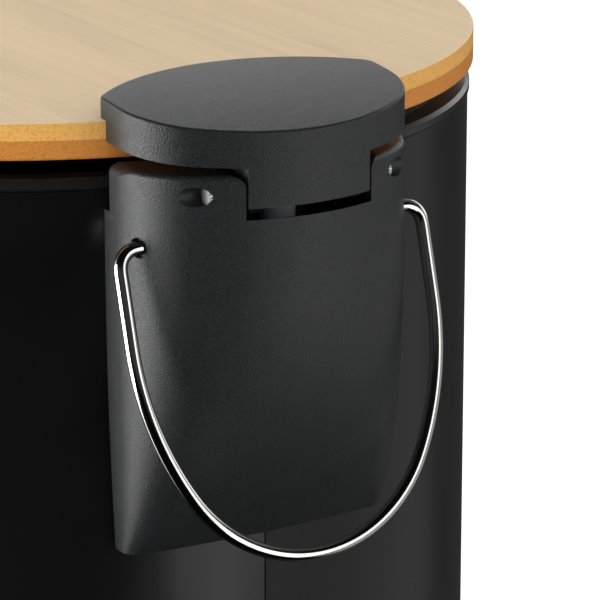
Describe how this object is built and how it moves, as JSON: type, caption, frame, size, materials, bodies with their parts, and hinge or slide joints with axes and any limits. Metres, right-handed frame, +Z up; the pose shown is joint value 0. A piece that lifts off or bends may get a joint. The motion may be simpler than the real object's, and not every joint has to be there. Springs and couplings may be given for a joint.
{
  "type": "pedal bin",
  "caption": "Small round pedal bin with a bamboo lid, rear hinge housing, wire carry handle and lift-out inner bucket.",
  "frame": {"origin": "centre of the box around the part, on the floor under the anti-slip ring, which is on the body's axis", "axes": "+Z up along the body's axis, +Y towards the hinge and the carry handle, -Y towards the pedal, +X to the right seen from the pedal"},
  "size_m": [0.205, 0.2572, 0.2804],
  "materials": {
    "bamboo_face": "satin",
    "bamboo_core": "satin",
    "moulded_plastic": "fine moulded grain",
    "steel_pin": "turned",
    "bright_wire": "polished",
    "spring_steel": "plain",
    "damper_plastic": "moulded",
    "black_enamel": "gloss",
    "rim_plastic": "satin",
    "zinc_sheet": "zinc plated",
    "zinc_screw": "zinc plated",
    "clear_rubber": "matt",
    "black_nylon": "moulded",
    "black_zinc_sheet": "black zinc plated",
    "base_plastic": "moulded",
    "foot_rubber": "matt",
    "bucket_plastic": "moulded"
  },
  "bodies": {
    "bin": {"base_moulding": "base_plastic", "anti_slip_ring": "foot_rubber", "body_shell": "black_enamel", "top_rim_ring": "rim_plastic", "inner_bucket": "bucket_plastic", "bucket_bail": "bright_wire", "hinge_housing": "moulded_plastic", "hinge_pin": "steel_pin", "housing_screws": "zinc_screw", "damper_cylinder": "damper_plastic", "rod_guide": "black_nylon", "pedal_bracket": "zinc_sheet", "pedal_pivot_pin": "steel_pin", "bracket_screws": "zinc_screw"},
    "lid": {"lid_top_ply": "bamboo_face", "lid_bottom_ply": "bamboo_core", "hinge_cap": "moulded_plastic", "lid_bracket": "black_zinc_sheet", "lid_screws": "zinc_screw", "lid_bumpers": "clear_rubber"},
    "carry_handle": {"carry_handle": "bright_wire", "handle_retainers": "spring_steel"},
    "damper_piston": {"damper_rod": "steel_pin", "damper_head": "damper_plastic"},
    "lifter": {"lifter": "black_nylon", "lifter_pin": "steel_pin", "push_rod": "steel_pin", "rod_clip": "spring_steel"},
    "pedal": {"pedal_lever": "zinc_sheet", "pedal_pad": "black_enamel", "pedal_rivets": "zinc_screw"}
  },
  "joints": [
    {"name": "pedal_hinge", "type": "hinge", "parent": "bin", "child": "pedal", "pos_m": [0, -0.0173, 0.012], "axis": [1, 0, 0], "range_deg": [0, 6.5]},
    {"name": "lid_hinge", "type": "hinge", "parent": "bin", "child": "lid", "pos_m": [0, 0.118, 0.2621], "axis": [-1, 0, 0], "range_deg": [0, 65]},
    {"name": "lifter_slide", "type": "slide", "parent": "bin", "child": "lifter", "axis": [0, 0, 1], "range_m": [0, 0.01249]},
    {"name": "damper_slide", "type": "slide", "parent": "bin", "child": "damper_piston", "axis": [0, 0, 1], "range_m": [0, 0.0045]},
    {"name": "carry_handle_swing", "type": "hinge", "parent": "bin", "child": "carry_handle", "pos_m": [0, 0.108, 0.2502], "axis": [1, 0, 0], "range_deg": [-8, 125]}
  ],
  "couplings": [
    {"joint": "lid_hinge", "follows": "pedal_hinge", "ratio": 10},
    {"joint": "lifter_slide", "follows": "pedal_hinge", "m_per_rad": 0.11007},
    {"joint": "damper_slide", "follows": "pedal_hinge", "m_per_rad": 0.039666}
  ]
}
